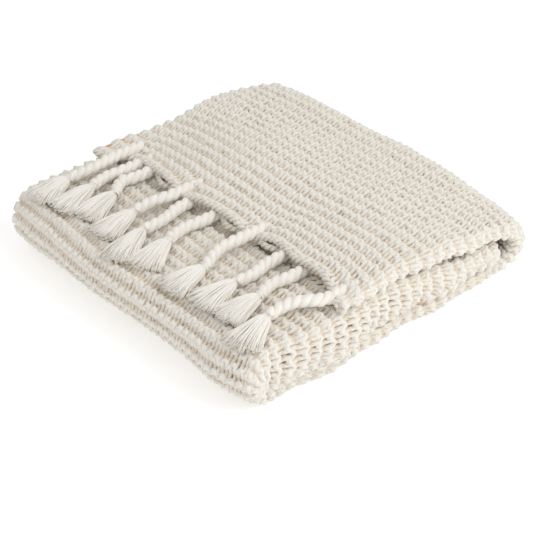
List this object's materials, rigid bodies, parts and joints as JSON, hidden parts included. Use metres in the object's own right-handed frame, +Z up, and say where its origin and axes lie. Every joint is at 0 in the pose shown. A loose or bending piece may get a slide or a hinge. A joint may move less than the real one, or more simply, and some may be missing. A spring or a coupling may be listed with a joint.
{
  "type": "folded throw blanket",
  "caption": "Chunky cotton knit throw folded into a square pile, its tasselled end lying on top as a flap that lifts about the right-hand turn.",
  "frame": {"origin": "centre of the folded pile's footprint, on the surface that it lies on", "axes": "+X across the fold lines, from the left turn to the right turn; +Y along the fold lines, from the near side to the far side; +Z up"},
  "size_m": [0.445, 0.424, 0.1],
  "materials": {
    "knitted_cotton": "matte",
    "twisted_cord": "matte",
    "binding_thread": "matte",
    "loose_yarn": "matte"
  },
  "bodies": {
    "pile": {"bottom_run_far_side_fold": "knitted_cotton", "bottom_run_inner_layer": "knitted_cotton", "bottom_run_middle_layer": "knitted_cotton", "bottom_run_near_side_fold": "knitted_cotton", "bottom_run_outer_layer": "knitted_cotton", "inner_end_rims": "knitted_cotton", "inner_run_layers": "knitted_cotton", "inner_tassel_bindings": "binding_thread", "inner_tassel_brushes": "loose_yarn", "inner_tassel_cords": "twisted_cord", "inner_turn": "knitted_cotton", "left_turn": "knitted_cotton", "right_turn": "knitted_cotton", "upper_run_far_side_fold": "knitted_cotton", "upper_run_inner_layer": "knitted_cotton", "upper_run_middle_layer": "knitted_cotton", "upper_run_near_side_fold": "knitted_cotton", "upper_run_outer_layer": "knitted_cotton"},
    "flap": {"flap_far_side_fold": "knitted_cotton", "flap_inner_layer": "knitted_cotton", "flap_inner_rim": "knitted_cotton", "flap_middle_layer": "knitted_cotton", "flap_middle_rim": "knitted_cotton", "flap_near_side_fold": "knitted_cotton", "flap_outer_layer": "knitted_cotton", "flap_outer_rim": "knitted_cotton"},
    "tassel_1": {"tassel_1_binding": "binding_thread", "tassel_1_brush": "loose_yarn", "tassel_1_cord": "twisted_cord"},
    "tassel_2": {"tassel_2_binding": "binding_thread", "tassel_2_brush": "loose_yarn", "tassel_2_cord": "twisted_cord"},
    "tassel_3": {"tassel_3_binding": "binding_thread", "tassel_3_brush": "loose_yarn", "tassel_3_cord": "twisted_cord"},
    "tassel_4": {"tassel_4_binding": "binding_thread", "tassel_4_brush": "loose_yarn", "tassel_4_cord": "twisted_cord"},
    "tassel_5": {"tassel_5_binding": "binding_thread", "tassel_5_brush": "loose_yarn", "tassel_5_cord": "twisted_cord"},
    "tassel_6": {"tassel_6_binding": "binding_thread", "tassel_6_brush": "loose_yarn", "tassel_6_cord": "twisted_cord"},
    "tassel_7": {"tassel_7_binding": "binding_thread", "tassel_7_brush": "loose_yarn", "tassel_7_cord": "twisted_cord"},
    "tassel_8": {"tassel_8_binding": "binding_thread", "tassel_8_brush": "loose_yarn", "tassel_8_cord": "twisted_cord"},
    "tassel_9": {"tassel_9_binding": "binding_thread", "tassel_9_brush": "loose_yarn", "tassel_9_cord": "twisted_cord"},
    "tassel_10": {"tassel_10_binding": "binding_thread", "tassel_10_brush": "loose_yarn", "tassel_10_cord": "twisted_cord"}
  },
  "joints": [
    {"name": "flap_lift", "type": "hinge", "parent": "pile", "child": "flap", "pos_m": [0.1835, 0, 0.039], "axis": [0, 1, 0], "range_deg": [0, 90], "deforming": ["right_turn"]},
    {"name": "tassel_1_swing", "type": "hinge", "parent": "flap", "child": "tassel_1", "pos_m": [-0.0895, 0.175, 0.092], "axis": [0, 1, 0], "range_deg": [0, 90]},
    {"name": "tassel_2_swing", "type": "hinge", "parent": "flap", "child": "tassel_2", "pos_m": [-0.0895, 0.151, 0.0835], "axis": [0, 1, 0], "range_deg": [0, 90]},
    {"name": "tassel_3_swing", "type": "hinge", "parent": "flap", "child": "tassel_3", "pos_m": [-0.0895, 0.13, 0.0835], "axis": [0, 1, 0], "range_deg": [0, 90]},
    {"name": "tassel_4_swing", "type": "hinge", "parent": "flap", "child": "tassel_4", "pos_m": [-0.0895, 0.066, 0.092], "axis": [0, 1, 0], "range_deg": [0, 90]},
    {"name": "tassel_5_swing", "type": "hinge", "parent": "flap", "child": "tassel_5", "pos_m": [-0.0895, 0.048, 0.0835], "axis": [0, 1, 0], "range_deg": [0, 90]},
    {"name": "tassel_6_swing", "type": "hinge", "parent": "flap", "child": "tassel_6", "pos_m": [-0.0895, 0.009, 0.0835], "axis": [0, 1, 0], "range_deg": [0, 90]},
    {"name": "tassel_7_swing", "type": "hinge", "parent": "flap", "child": "tassel_7", "pos_m": [-0.0895, -0.051, 0.092], "axis": [0, 1, 0], "range_deg": [0, 90]},
    {"name": "tassel_8_swing", "type": "hinge", "parent": "flap", "child": "tassel_8", "pos_m": [-0.0895, -0.099, 0.0835], "axis": [0, 1, 0], "range_deg": [0, 90]},
    {"name": "tassel_9_swing", "type": "hinge", "parent": "flap", "child": "tassel_9", "pos_m": [-0.0895, -0.134, 0.0835], "axis": [0, 1, 0], "range_deg": [0, 90]},
    {"name": "tassel_10_swing", "type": "hinge", "parent": "flap", "child": "tassel_10", "pos_m": [-0.0895, -0.193, 0.092], "axis": [0, 1, 0], "range_deg": [0, 90]}
  ]
}
